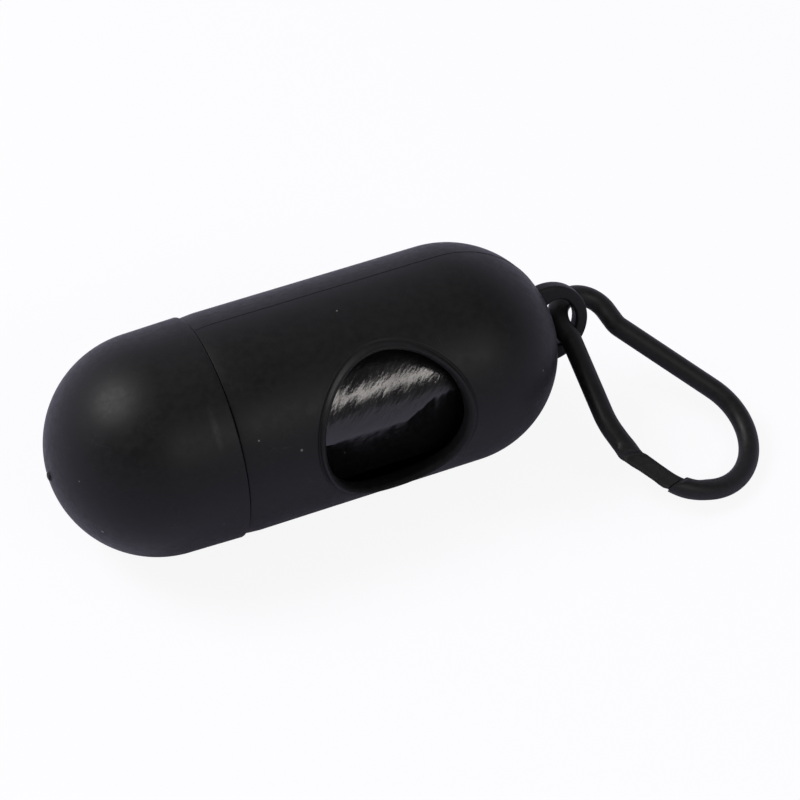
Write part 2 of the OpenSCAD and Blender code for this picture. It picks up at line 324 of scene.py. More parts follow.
def helix(name, radius, height, x0, pitch, turns, half):
    """A screw thread: a low ridge wound round the capsule's axis. Its height may point inwards."""
    steps = int(120 * turns)
    shape = [(-1.0, -0.3), (-0.45, 1.0), (0.45, 1.0), (1.0, -0.3)]
    verts = []
    for i in range(steps + 1):
        t = i / steps
        a = 2 * math.pi * turns * t
        fade = min(1.0, 10 * t, 10 * (1 - t))
        out = np.array([0.0, math.cos(a), math.sin(a)])
        for s, h in shape:
            lift = h * height * (fade if h > 0 else 1.0)
            verts.append(AX * (x0 + pitch * turns * t + s * half) + out * (radius + lift))
    return mesh_object(name, verts, grid_faces(steps + 1, len(shape), False, False))


# ---------------------------------------------------------------- carabiner
POCKET_R = 5.05
ARM_OFF = 4.2
ARM_SLOPE = math.radians(41.3)
NECK_SLOPE = math.radians(25.6)
NECK_RUN = 2.3
SPINE_SLOPE = math.radians(1.3)
SPINE_L = 18.9
BEND_R = 11.1
ELBOW_R = 14.7
TURN_R = 3.0
FLEX_RUN = 2.3
BAR_R = 1.75
POCKET_PT = np.array([APEX_X + POCKET_R + BAR_R + 0.2, -0.4, -2.0])
LIE_TURN = math.radians(-48.7)
STEP_REACH = 19.9
TONGUE_REACH = 27.85
TONGUE_GAP = 0.18
TONGUE_TIP = 22.0
STEP_SLANT = 0.9
NOSE_HIDDEN = 0.8
NOSE_TOP = -0.45
LAP_DRIFT = 0.3
SECTION_POINTS = 64


ARM_IN = np.array([math.sin(ARM_SLOPE), math.cos(ARM_SLOPE)])
ARM_DIR = np.array([math.cos(ARM_SLOPE), -math.sin(ARM_SLOPE)])
TURN_RUN = math.sqrt((POCKET_R + TURN_R) ** 2 - (ARM_OFF + TURN_R) ** 2)
TURN_C = ARM_DIR * TURN_RUN - ARM_IN * (ARM_OFF + TURN_R)
TURN_AT = math.degrees(math.atan2(TURN_C[1], TURN_C[0]))
ARM_A = ARM_DIR * TURN_RUN - ARM_IN * ARM_OFF
FLEX = ARM_A + ARM_DIR * FLEX_RUN
NECK_DIR = np.array([math.cos(NECK_SLOPE), -math.sin(NECK_SLOPE)])
NECK_UP = np.array([math.sin(NECK_SLOPE), math.cos(NECK_SLOPE)])
NECK_B = NECK_UP * POCKET_R + NECK_DIR * NECK_RUN
NECK_C = NECK_B + NECK_UP * TURN_R
SPINE_DIR = np.array([math.cos(SPINE_SLOPE), math.sin(SPINE_SLOPE)])
SPINE_IN = np.array([math.sin(SPINE_SLOPE), -math.cos(SPINE_SLOPE)])
SPINE_A = NECK_C + SPINE_IN * TURN_R
SPINE_B = SPINE_A + SPINE_DIR * SPINE_L
BEND_C = SPINE_B + SPINE_IN * BEND_R
LAP_Y = BEND_C[1] - BEND_R
CORNER = np.array([(-ARM_OFF - ARM_IN[1] * LAP_Y) / ARM_IN[0], LAP_Y])
ELBOW_RUN = ELBOW_R * math.tan(ARM_SLOPE / 2)
ELBOW_C = np.array([CORNER[0] + ELBOW_RUN, LAP_Y + ELBOW_R])
LIE_SLOPE = math.asin((RIM_R - 2.0 - BAR_R) / (BEND_C[0] + BEND_R))
ALONG = np.array([math.cos(LIE_TURN) * math.cos(LIE_SLOPE),
                  math.sin(LIE_TURN) * math.cos(LIE_SLOPE), -math.sin(LIE_SLOPE)])
ACROSS = np.array([-math.sin(LIE_TURN), math.cos(LIE_TURN), 0.0])
UPRIGHT = np.cross(ALONG, ACROSS)


def in_plane(a, b, n=0.0):
    return POCKET_PT + ALONG * a + ACROSS * b + UPRIGHT * n


def bar_path(*pieces):
    """Close points along a chain of arcs and straights, and their distances along it.

    A piece is (centre, radius, from angle, to angle) or (start, end)."""
    raw = []
    for piece in pieces:
        if len(piece) == 2:
            a, b = (np.asarray(p, float) for p in piece)
            n = max(2, int(np.linalg.norm(b - a) / 0.05))
            raw += [tuple(a + (b - a) * i / n) for i in range(n + 1)]
        else:
            c, r, a0, a1 = piece
            n = max(2, int(abs(math.radians(a1 - a0)) * r / 0.05))
            raw += arc(c[0], c[1], r, a0, a1, n)
    raw = np.array(raw)
    keep = np.r_[True, np.linalg.norm(np.diff(raw, axis=0), axis=1) > 1e-4]
    raw = raw[keep]
    s = np.r_[0.0, np.cumsum(np.linalg.norm(np.diff(raw, axis=0), axis=1))]
    return raw, s


def stations(raw, s, spots):
    """Points, inward normals and directions of travel at the given lengths along a path.

    The loop lies to the left of travel."""
    out = []
    for q in spots:
        p = np.array([np.interp(q, s, raw[:, 0]), np.interp(q, s, raw[:, 1])])
        lo, hi = max(q - 0.12, s[0]), min(q + 0.12, s[-1])
        d = np.array([np.interp(hi, s, raw[:, k]) - np.interp(lo, s, raw[:, k]) for k in (0, 1)])
        d /= np.linalg.norm(d)
        out.append((p, np.array([-d[1], d[0]]), d))
    return out


def section(shift, mid, walls, plane=None, power=13.0):
    """Outline of a round bar cut back by flat faces, with its corners eased.

    shift moves the round bar inwards. mid is a point inside the outline. walls are the limits
    across and then upright, low one first. plane is one more face: how far it is tipped
    outwards, in degrees, and its distance from the axis."""
    pts = []
    c_lo, c_hi, n_lo, n_hi = walls
    for i in range(SECTION_POINTS):
        a = 2 * math.pi * (i + 0.5) / SECTION_POINTS
        dc, dn = math.cos(a), math.sin(a)
        ox, oy = mid[0] - shift, mid[1]
        half = ox * dc + oy * dn
        hit = -half + math.sqrt(max(half * half - (ox * ox + oy * oy) + BAR_R * BAR_R, 1e-6))
        total = hit ** -power
        faces = [(c_hi - mid[0], dc), (mid[0] - c_lo, -dc)]
        faces += [(n_hi - mid[1], dn), (mid[1] - n_lo, -dn)]
        if plane:
            tip = math.radians(plane[0])
            face = (-math.sin(tip), math.cos(tip))
            room = plane[1] - mid[0] * face[0] - mid[1] * face[1]
            faces.append((room, dc * face[0] + dn * face[1]))
        for gap, along in faces:
            if along > 1e-3:
                total += (max(gap, 0.02) / along) ** -power
        r = total ** (-1.0 / power)
        pts.append((mid[0] + r * dc, mid[1] + r * dn))
    return pts


def sweep_bar(name, spots, sections, slants, skews):
    """Skin over the sections.

    A skew draws the inner side of a section on along the bar, and a slant does so on its
    upper side only."""
    verts = []
    for i, ((p, inside, onward), sec) in enumerate(zip(spots, sections)):
        for c, n in sec:
            ahead = slants[i] * (c + 0.6) * ease(n, -0.1, 0.7) + skews[i] * c
            q = p + inside * c + onward * ahead
            verts.append(in_plane(q[0], q[1], n))
    count = len(sections[0])
    faces = grid_faces(len(spots), count, False, True)
    for first, centre in ((0, sections[0]), (len(spots) - 1, sections[-1])):
        p, inside, _ = spots[first]
        mid = np.mean(np.array(centre), axis=0)
        q = p + inside * mid[0]
        verts.append(in_plane(q[0], q[1], mid[1]))
        for j in range(count):
            faces.append((first * count + j, first * count + (j + 1) % count, len(verts) - 1))
    bar = mesh_object(name, verts, faces)
    sharpen(bar, 48)
    return bar


def reach(p):
    return float(np.linalg.norm(p - FLEX))


def arc_skew(spot):
    """Skew that lays a section along a circle round the arm's bending point."""
    p, inside, onward = spot
    out = (p - FLEX) / np.linalg.norm(p - FLEX)
    return -float(inside @ out) / float(onward @ out)


def make_gate():
    """Springy arm: round at its root, with a flat tongue past the step that laps over the hook."""
    slope = math.degrees(ARM_SLOPE)
    elbow_a = CORNER - ARM_DIR * ELBOW_RUN
    raw, s = bar_path((ARM_A, elbow_a), (ELBOW_C, ELBOW_R, -90 - slope, -90),
                      ((ELBOW_C[0], LAP_Y), (BEND_C[0], LAP_Y)), (BEND_C, BEND_R, -90, -60))
    far = slice(len(raw) // 4, None)
    dist = np.array([reach(p) for p in raw])[far]
    end = float(np.interp(TONGUE_REACH, dist, s[far]))
    step = float(np.interp(STEP_REACH, dist, s[far]))
    marks = list(np.arange(0.0, step - 2.4, 0.45)) + list(np.arange(step - 2.3, step + 1.4, 0.07))
    marks += list(np.arange(step + 1.5, end - 0.35, 0.3))
    marks += [end - 0.28, end - 0.18, end - 0.1, end - 0.04, end - 0.01, end]
    spots = stations(raw, s, marks)
    sections, slants, skews = [], [], []
    lean = arc_skew(spots[-1])
    for q in marks:
        under = ease(q, step - 2.6, step + 0.5)
        side = ease(q, step - 1.2, step + 1.3)
        top = ease(q, step + 0.1, step + 0.8)
        push = 0.2 + 0.27 * (1 - ease(q, step + 0.3, step + 2.8))
        shift = -push * ease(q, step - 2.2, step + 0.3)
        mid = (-0.65 * side, 0.35 * under)
        c_hi = 3.2 - 1.25 * ease(q, step - 2.2, step - 1.2) - 1.6 * side
        walls = (-3.4, c_hi, -2.6 + 2.4 * under, 2.4)
        left = end - q
        if left < 0.3:
            trim = 0.18 * (1 - math.sqrt(max(1 - (1 - left / 0.3) ** 2, 0.0)))
            walls = (-1.92 + trim, walls[1] - trim, walls[2] + trim * 0.6, 1.3 - trim)
        drift = -LAP_DRIFT * ease(q, step - 4.0, step - 0.4)
        flat = (TONGUE_TIP, 1.95 - 0.93 * top)
        sections.append([(c + drift, n) for c, n in section(shift, mid, walls, flat)])
        fade = 1 - ease(q, step + 1.5, step + 5.0)
        slants.append(STEP_SLANT * ease(q, step - 3.4, step - 0.4) * fade)
        skews.append(lean * ease(q, end - 4.5, end - 0.8))
    return sweep_bar("gate_arm", spots, sections, slants, skews)


def make_hook():
    """The rest of the carabiner: root of the arm, pocket round the eye, spine, bend and nose."""
    slope = math.degrees(ARM_SLOPE)
    neck = math.degrees(NECK_SLOPE)
    spine = math.degrees(SPINE_SLOPE)
    raw, s = bar_path((ELBOW_C, ELBOW_R, -90 - slope / 2 - 6, -90),
                      ((ELBOW_C[0], LAP_Y), (BEND_C[0], LAP_Y)),
                      (BEND_C, BEND_R, -90, 90 + spine), (SPINE_B, SPINE_A),
                      (NECK_C, TURN_R, -90 + spine, -90 - neck), (NECK_B, NECK_UP * POCKET_R),
                      ((0.0, 0.0), POCKET_R, 90 - neck, 360 + TURN_AT),
                      (TURN_C, TURN_R, 180 + TURN_AT, 90 - slope))
    lap = (raw[:, 0] > FLEX[0]) & (raw[:, 1] < BEND_C[1]) & (s < 30)
    dist = np.array([reach(p) for p in raw[lap]])
    tip = float(np.interp(STEP_REACH + NOSE_HIDDEN, dist, s[lap]))
    foot = float(np.interp(TONGUE_REACH + TONGUE_GAP, dist, s[lap]))
    marks = [tip + d for d in (0.0, 0.02, 0.06, 0.12, 0.2, 0.3, 0.42, 0.56, 0.72, 0.9, 1.1, 1.3)]
    marks += list(np.arange(tip + 1.55, foot - 0.2, 0.3))
    marks += [foot - 0.1, foot - 0.02, foot, foot + 0.04]
    marks += list(np.arange(foot + 0.1, foot + 3.0, 0.12))
    marks += list(np.arange(foot + 3.1, s[-1], 0.4)) + [s[-1]]
    spots = stations(raw, s, marks)
    lean = arc_skew(stations(raw, s, [foot])[0])
    sections, skews = [], []
    for q in marks:
        along = min(max((q - tip) / (foot - tip), 0.0), 1.0)
        past = 1.0 if q > foot + 0.02 else 0.0
        open_up = ease(q, foot, foot + 2.4)
        low = 0.15 - 0.95 * along
        widen = (0.5 - 0.1 * along) * (1 - past)
        mid = mix((0.5 * (low + 1.6), -0.95), (0.0, 0.0), past)
        top = NOSE_TOP + 1.68 * past + 2.2 * open_up
        walls = (low - 0.8 * past - 1.8 * open_up, 3.4, -3.0, top)
        if q - tip < 1.2:
            half = 0.78 * math.sqrt(max(1 - (1 - (q - tip) / 1.2) ** 2, 0.0004))
            trim = 0.78 - half
            walls = (low + trim, BAR_R - trim, -1.62 + 0.6 * trim, top - 0.3 * trim)
        drift = -LAP_DRIFT * (1 - ease(q, foot + 1.6, foot + 6.0))
        ring = section(0.0, mid, walls, power=13.0 if past else 5.0)
        sections.append([(c * (1 + widen * ease(c, 0.0, 1.2)) + drift, n) for c, n in ring])
        fade = 1 - ease(q, foot + 0.6, foot + 6.0)
        skews.append(lean * ease(q, foot - 4.5, foot - 0.8) * fade)
    return sweep_bar("hook_bar", spots, sections, [0.0] * len(marks), skews)


# ---------------------------------------------------------------- roll of bags
def on_roll(x, angle, r):
    """A point on the roll. The angle starts at the window's side and rises toward the top.

    The roll is pressed flat low on the window's side."""
    middle = FLAT_MIDDLE + 11.0 * ease(x, 11.5, 18.5)
    middle = math.radians(middle + 0.35 * math.sin(1.9 * x) + 0.15 * math.sin(4.3 * x + 1.0))
    off = math.atan2(math.sin(angle - middle), math.cos(angle - middle))
    if abs(off) < 1.2:
        depth = ROLL_R * (1 - math.cos(FLAT_HALF) / math.cos(off))
        r -= 0.5 * (depth + math.hypot(depth, 0.16)) * ease(r, 6.0, 13.9)
    return AX * x + np.array([0.0, ROLL_Y - r * math.cos(angle), ROLL_Z + r * math.sin(angle)])


def make_waves(seed, count, low, high, slope):
    """Random wave numbers for slanted creases, with amplitudes that give about the same slope."""
    rng = random.Random(seed)
    waves = []
    for _ in range(count):
        length = low * (high / low) ** rng.random()
        k = 2 * math.pi / length
        waves.append((k, rng.uniform(0, 6.28), slope / k * rng.uniform(0.5, 1.2),
                      rng.uniform(0.15, 0.5), rng.uniform(0, 6.28), rng.uniform(0.5, 2.2),
                      math.radians(rng.gauss(46, 11))))
    return waves


def creases(waves, x, s):
    total = 0.0
    for k, phase, amp, k2, phase2, bend, lean in waves:
        across = x * math.cos(lean) - s * math.sin(lean)
        length = x * math.sin(lean) + s * math.cos(lean)
        swell = 0.55 + 0.45 * math.sin(length * k2 * 1.7 + phase2 * 2)
        total += amp * swell * math.sin(k * across + phase + bend * math.sin(k2 * length + phase2))
    return total


def make_lead_sheet():
    """Outermost bag: nearly one turn, its edges below the window, and thinner at its far end."""
    fine = make_waves(5, 12, 0.9, 3.2, 0.013)
    broad = make_waves(9, 5, 7.0, 18.0, 0.01)
    cols, rows = 300, 330
    verts = []
    for side in (0, 1):
        for i in range(rows + 1):
            t = i / rows
            turn = math.radians(LEAD_ARC) * t
            for j in range(cols + 1):
                x = ROLL_X0 + 0.05 + (ROLL_X1 - ROLL_X0 - 0.1) * j / cols
                edge = 0.02 * math.sin(x * 0.55 + 1.3) + 0.012 * math.sin(x * 1.9) if i < 4 else 0.0
                angle = edge - turn - math.radians(LEAD_EDGE)
                s = ROLL_R * angle
                r = ROLL_R - 0.12 - 0.12 * t + creases(fine, x, s) + creases(broad, x, s)
                r = min(r, ROLL_R - 0.005)
                if side:
                    r = max(r - 0.1 * (1 - t), ROLL_R - LEAD_T + 0.02)
                    r = min(r, ROLL_R - 0.2)
                verts.append(on_roll(x, angle, r))
    n = cols + 1
    faces = grid_faces(rows + 1, n, False, False)
    count = (rows + 1) * n
    faces += [tuple(reversed(f)) for f in grid_faces(rows + 1, n, False, False, count)]
    for j in range(cols):
        faces.append((j + 1, j, count + j, count + j + 1))
        a = rows * n + j
        faces.append((a, a + 1, count + a + 1, count + a))
    for i in range(rows):
        a = i * n
        faces.append((a, a + n, count + a + n, count + a))
        b = a + cols
        faces.append((b + n, b, count + b, count + b + n))
    sheet = mesh_object("lead_sheet", verts, faces)
    sharpen(sheet, 50)
    return sheet


def make_film_roll():
    """The wound bags under the outermost one: uneven edges of film at both ends."""
    rng = random.Random(21)
    outer = ROLL_R - LEAD_T
    steps = 200
    rings = []
    turns = 9
    for end, x in ((-1, ROLL_X0), (1, ROLL_X1)):
        side = []
        for k in range(turns * 4 + 1):
            f = k / (turns * 4)
            r = 5.55 + (outer - 0.05 - 5.55) * f
            dip = 0.18 + 0.22 * abs(math.sin(math.pi * turns * f)) + rng.uniform(-0.05, 0.05)
            side.append((x - end * dip, r))
        rings.append(side)
    profile = list(rings[0])
    profile += [(x, outer) for x in np.linspace(ROLL_X0 + 0.3, ROLL_X1 - 0.3, 60)]
    profile += list(reversed(rings[1]))
    verts = []
    for x, r in profile:
        for i in range(steps):
            a = 2 * math.pi * i / steps
            lift = 0.05 * math.sin(3 * a + x * 0.21) + 0.03 * math.sin(7 * a - x * 0.4)
            near_end = abs(x - ROLL_X0) < 0.6 or abs(x - ROLL_X1) < 0.6
            wob = 0.05 * math.sin(5 * a + r * 2.0) if near_end else 0.0
            height = min(r + lift, outer) - 0.05 if r > 13 else r
            verts.append(on_roll(x + wob, a, height))
    faces = grid_faces(len(profile), steps, True, True)
    roll = mesh_object("film_roll", verts, faces)
    sharpen(roll, 60)
    return roll


# ---------------------------------------------------------------- materials
class Nodes:
    """Small helper that adds shader nodes and links them."""

    def __init__(self, name):
        self.mat = bpy.data.materials.new(name)
        self.mat.use_nodes = True
        self.tree = self.mat.node_tree
        self.shader = self.tree.nodes["Principled BSDF"]
        self.coord = self.add("ShaderNodeTexCoord").outputs["Object"]

    def add(self, kind, **props):
        node = self.tree.nodes.new(kind)
        for key, value in props.items():
            setattr(node, key, value)
        return node

    def link(self, a, b):
        self.tree.links.new(a, b)

    def put(self, socket, value):
        if isinstance(value, bpy.types.NodeSocket):
            self.link(value, socket)
        else:
            socket.default_value = value

    def mapped(self, stretch=(1, 1, 1), turn=(0, 0, 0)):
        """Turned coordinates, in which the stretch draws a pattern out along each axis."""
        node = self.add("ShaderNodeMapping", vector_type="TEXTURE")
        node.inputs["Scale"].default_value = stretch
        node.inputs["Rotation"].default_value = [math.radians(v) for v in turn]
        self.link(self.coord, node.inputs["Vector"])
        return node.outputs[0]

    def noise(self, scale, detail=3.0, rough=0.5, vector=None, warp=0.0):
        node = self.add("ShaderNodeTexNoise")
        node.inputs["Scale"].default_value = scale
        node.inputs["Detail"].default_value = detail
        node.inputs["Roughness"].default_value = rough
        node.inputs["Distortion"].default_value = warp
        self.link(vector or self.coord, node.inputs["Vector"])
        return node.outputs[0]

    def voronoi(self, scale, feature="F1", vector=None):
        node = self.add("ShaderNodeTexVoronoi", feature=feature)
        node.inputs["Scale"].default_value = scale
        self.link(vector or self.coord, node.inputs["Vector"])
        return node.outputs["Distance"]

    def ramp(self, value, lo, hi, out_lo=0.0, out_hi=1.0):
        node = self.add("ShaderNodeMapRange", clamp=True, interpolation_type="SMOOTHSTEP")
        node.inputs["From Min"].default_value = lo
        node.inputs["From Max"].default_value = hi
        node.inputs["To Min"].default_value = out_lo
        node.inputs["To Max"].default_value = out_hi
        self.link(value, node.inputs["Value"])
        return node.outputs[0]

    def math(self, op, a, b=0.0):
        node = self.add("ShaderNodeMath", operation=op)
        for socket, value in zip(node.inputs, (a, b)):
            self.put(socket, value)
        return node.outputs[0]

    def near(self, centre, radii, soft=0.6):
        """1 inside an ellipsoid round a point, given in millimetres, fading to 0 at its surface."""
        node = self.add("ShaderNodeVectorMath", operation="SUBTRACT")
        self.link(self.coord, node.inputs[0])
        node.inputs[1].default_value = row(centre)
        size = self.add("ShaderNodeVectorMath", operation="DIVIDE")
        self.link(node.outputs[0], size.inputs[0])
        size.inputs[1].default_value = [r / 1000.0 for r in radii]
        length = self.add("ShaderNodeVectorMath", operation="LENGTH")
        self.link(size.outputs[0], length.inputs[0])
        return self.ramp(length.outputs["Value"], 1.0 - soft, 1.0, 1.0, 0.0)

    def mix(self, factor, a, b):
        node = self.add("ShaderNodeMix", data_type="RGBA")
        self.put(node.inputs[0], factor)
        self.put(node.inputs[6], a)
        self.put(node.inputs[7], b)
        return node.outputs[2]

    def bump(self, height, strength, distance, normal=None):
        node = self.add("ShaderNodeBump")
        node.inputs["Strength"].default_value = strength
        node.inputs["Distance"].default_value = distance
        self.link(height, node.inputs["Height"])
        if normal is not None:
            self.link(normal, node.inputs["Normal"])
        return node.outputs[0]


def grey(v, warm=0.0):
    return (v * (1 + warm), v, v * (1 - warm), 1.0)


def dust(n, scale, radius, share, seed_shift):
    """Small specks: dots of a given radius at a share of the cells of a Voronoi pattern."""
    place = n.mapped(turn=(seed_shift, seed_shift * 2, 0))
    dots = n.ramp(n.voronoi(scale, vector=place), radius * 0.45, radius, 1.0, 0.0)
    node = n.add("ShaderNodeTexVoronoi", feature="F1")
    node.inputs["Scale"].default_value = scale
    n.link(place, node.inputs["Vector"])
    pick = n.add("ShaderNodeSeparateColor")
    n.link(node.outputs["Color"], pick.inputs[0])
    return n.math("MULTIPLY", dots, n.ramp(pick.outputs[0], 1 - share, 1 - share + 0.02))


def scratches(n, scale, stretch, turn, width, keep):
    """Short thin scratches: the borders of long cells, kept only in patches."""
    place = n.mapped(stretch=(stretch, 1, 1), turn=turn)
    line = n.ramp(n.voronoi(scale, feature="DISTANCE_TO_EDGE", vector=place), 0.0, width, 1.0, 0.0)
    patch = n.ramp(n.noise(170.0, 2.0, vector=n.mapped(turn=turn)), keep, keep + 0.08)
    return n.math("MULTIPLY", line, patch)


def moulded_plastic(name, base, rough, spec, scuffs_and_highlights=(), grain=1.0):
    n = Nodes(name)
    fine = n.noise(5200.0, 2.0, 0.6)
    mottle = n.noise(900.0, 4.0, 0.65)
    cloud = n.noise(95.0, 4.0, 0.55, warp=0.4)
    marks = n.math("MAXIMUM", scratches(n, 420.0, 14.0, (20, 35, 62), 0.02, 0.62),
                   scratches(n, 360.0, 18.0, (70, 10, -38), 0.018, 0.65))
    specks = n.math("MAXIMUM", dust(n, 190.0, 0.06, 0.16, 17), dust(n, 420.0, 0.085, 0.1, 40))
    wear_and_highlight = None
    # Lighter patches at given spots. They sit where the lamps' highlights fall, so they are partly
    # scuff wear and partly painted highlight.
    for centre, radii, amount in scuffs_and_highlights:
        spot = n.math("MULTIPLY", n.near(centre, radii, 0.85), amount)
        spot = n.math("MULTIPLY", spot, n.ramp(n.noise(1500.0, 4.0, 0.7), 0.3, 0.7, 0.45, 1.0))
        wear_and_highlight = spot if wear_and_highlight is None else n.math("MAXIMUM", wear_and_highlight, spot)
    colour = n.mix(n.ramp(mottle, 0.3, 0.7), grey(base * 0.75), grey(base * 1.3))
    colour = n.mix(n.ramp(cloud, 0.35, 0.7, 0.0, 0.3), colour, grey(base * 1.5))
    # Paints the patches lighter grey: scuff wear that is partly a painted highlight.
    if wear_and_highlight is not None:
        colour = n.mix(wear_and_highlight, colour, grey(0.08, 0.02))
    colour = n.mix(n.math("MULTIPLY", marks, 0.3), colour, grey(0.03))
    colour = n.mix(n.math("MULTIPLY", specks, 0.8), colour, grey(0.16, 0.03))
    n.link(colour, n.shader.inputs["Base Color"])
    finish = n.math("ADD", n.ramp(mottle, 0.25, 0.75, rough - 0.05, rough + 0.06),
                    n.ramp(cloud, 0.3, 0.7, -0.012, 0.014))
    finish = n.math("ADD", finish, n.math("MULTIPLY", specks, 0.2))
    n.link(finish, n.shader.inputs["Roughness"])
    n.shader.inputs["Specular IOR Level"].default_value = spec
    n.shader.inputs["IOR"].default_value = 1.49
    height = n.math("ADD", n.math("MULTIPLY", fine, 0.35), n.math("MULTIPLY", mottle, 0.65))
    height = n.math("SUBTRACT", height, n.math("MULTIPLY", marks, 0.15))
    height = n.math("ADD", height, n.math("MULTIPLY", specks, 0.6))
    n.link(n.bump(height, 0.5, 0.00004 * grain), n.shader.inputs["Normal"])
    return n.mat


def film_plastic(name, rings=False):
    """Thin glossy film: fine slanted creases, and a few longer ones that cross them."""
    n = Nodes(name)
    n.shader.inputs["Specular IOR Level"].default_value = 0.5
    n.shader.inputs["IOR"].default_value = 1.5
    lean = n.mapped(stretch=(1.0, 1.0, 4.0), turn=(-19, 50, 0))
    steep = n.mapped(stretch=(1.0, 1.0, 3.5), turn=(-24, 30, 0))
    streak = n.noise(2100.0, 3.0, 0.55, vector=lean, warp=0.25)
    thread = n.noise(4300.0, 2.0, 0.5, vector=steep)
    broad = n.noise(420.0, 3.0, 0.5, vector=steep, warp=0.5)
    colour = n.mix(n.ramp(streak, 0.3, 0.75), grey(0.003), grey(0.007, 0.04))
    flecks = dust(n, 520.0, 0.13, 0.08, 25)
    colour = n.mix(n.math("MULTIPLY", flecks, 0.6), colour, grey(0.14))
    n.link(colour, n.shader.inputs["Base Color"])
    n.link(n.ramp(broad, 0.3, 0.7, 0.13, 0.22), n.shader.inputs["Roughness"])
    first = n.bump(streak, 0.42, 0.00010)
    second = n.bump(thread, 0.35, 0.00004, first)
    third = n.bump(broad, 0.25, 0.0002, second)
    if rings:
        offset = n.add("ShaderNodeVectorMath", operation="SUBTRACT")
        n.link(n.coord, offset.inputs[0])
        offset.inputs[1].default_value = row((0.0, ROLL_Y, ROLL_Z))
        flat = n.add("ShaderNodeVectorMath", operation="MULTIPLY")
        n.link(offset.outputs[0], flat.inputs[0])
        flat.inputs[1].default_value = (0.0, 1.0, 1.0)
        length = n.add("ShaderNodeVectorMath", operation="LENGTH")
        n.link(flat.outputs[0], length.inputs[0])
        wave = n.math("SINE", n.math("MULTIPLY", length.outputs["Value"], 21000.0))
        third = n.bump(wave, 0.5, 0.00006, third)
    n.link(third, n.shader.inputs["Normal"])
    return n.mat


def paperboard(name):
    n = Nodes(name)
    fibre = n.noise(2600.0, 5.0, 0.7, vector=n.mapped(stretch=(3, 1, 1)))
    blot = n.noise(240.0, 3.0, 0.6)
    colour = n.mix(n.ramp(fibre, 0.3, 0.7), (0.3, 0.26, 0.2, 1), (0.44, 0.39, 0.31, 1))
    colour = n.mix(n.ramp(blot, 0.45, 0.75, 0.0, 0.5), colour, (0.25, 0.215, 0.17, 1))
    n.link(colour, n.shader.inputs["Base Color"])
    n.link(n.ramp(fibre, 0.3, 0.7, 0.78, 0.95), n.shader.inputs["Roughness"])
    n.link(n.bump(fibre, 0.5, 0.0001), n.shader.inputs["Normal"])
    return n.mat


def paint(obj, mat):
    obj.data.materials.clear()
    obj.data.materials.append(mat)
    for poly in obj.data.polygons:
        poly.material_index = 0


# ---------------------------------------------------------------- camera, light and floor
def look(obj, target):
    obj.rotation_euler = (Vector(target) - obj.location).to_track_quat("-Z", "Y").to_euler()


# Focal length and width of the picture in pixels, and the camera's distance in millimetres
CAMERA_FOCAL = 3370.75
PICTURE = 800
CAMERA_DISTANCE = 563.63


def make_camera():
    az, el = math.radians(-23.78), math.radians(45.28)
    back = np.array([math.sin(az) * math.cos(el), -math.cos(az) * math.cos(el), math.sin(el)])
    target = np.array([17.24, 0.0, -7.6])
    cam = bpy.data.cameras.new("camera")
    cam.sensor_width = 36.0
    cam.lens = CAMERA_FOCAL / PICTURE * cam.sensor_width
    cam.clip_start = 0.05
    cam.clip_end = 20.0
    obj = bpy.data.objects.new("camera", cam)
    bpy.context.scene.collection.objects.link(obj)
    obj.location = row(target + back * CAMERA_DISTANCE)
    look(obj, row(target))
    bpy.context.scene.camera = obj


def area_light(name, place, target, size_x, size_y, power, colour):
    data = bpy.data.lights.new(name, "AREA")
    data.shape = "RECTANGLE"
    data.size = size_x
    data.size_y = size_y
    data.energy = power
    data.color = colour
    obj = bpy.data.objects.new(name, data)
    bpy.context.scene.collection.objects.link(obj)
    obj.location = place
    look(obj, target)


def make_floor():
    """Pale floor that keeps a soft shadow of the object."""
    bm = bmesh.new()
    bmesh.ops.create_grid(bm, x_segments=1, y_segments=1, size=3.0)
    mesh = bpy.data.meshes.new("floor")
    bm.to_mesh(mesh)
    bm.free()
    floor = bpy.data.objects.new("floor", mesh)
    bpy.context.scene.collection.objects.link(floor)
    mat = bpy.data.materials.new("floor")
    mat.use_nodes = True
    tree = mat.node_tree
    shader = tree.nodes["Principled BSDF"]
    shader.inputs["Base Color"].default_value = (0.79, 0.76, 0.97, 1)
    shader.inputs["Roughness"].default_value = 0.9
    shader.inputs["Specular IOR Level"].default_value = 0.1
    glow = tree.nodes.new("ShaderNodeEmission")
    glow.inputs["Color"].default_value = (1, 1, 1, 1)
    glow.inputs["Strength"].default_value = 1.0
    path = tree.nodes.new("ShaderNodeLightPath")
    share = tree.nodes.new("ShaderNodeMath")
    share.operation = "MULTIPLY"
    share.inputs[1].default_value = 0.9
    tree.links.new(path.outputs["Is Camera Ray"], share.inputs[0])
    mix = tree.nodes.new("ShaderNodeMixShader")
    tree.links.new(share.outputs[0], mix.inputs[0])
    tree.links.new(shader.outputs[0], mix.inputs[1])
    tree.links.new(glow.outputs[0], mix.inputs[2])
    tree.links.new(mix.outputs[0], tree.nodes["Material Output"].inputs["Surface"])
    paint(floor, mat)


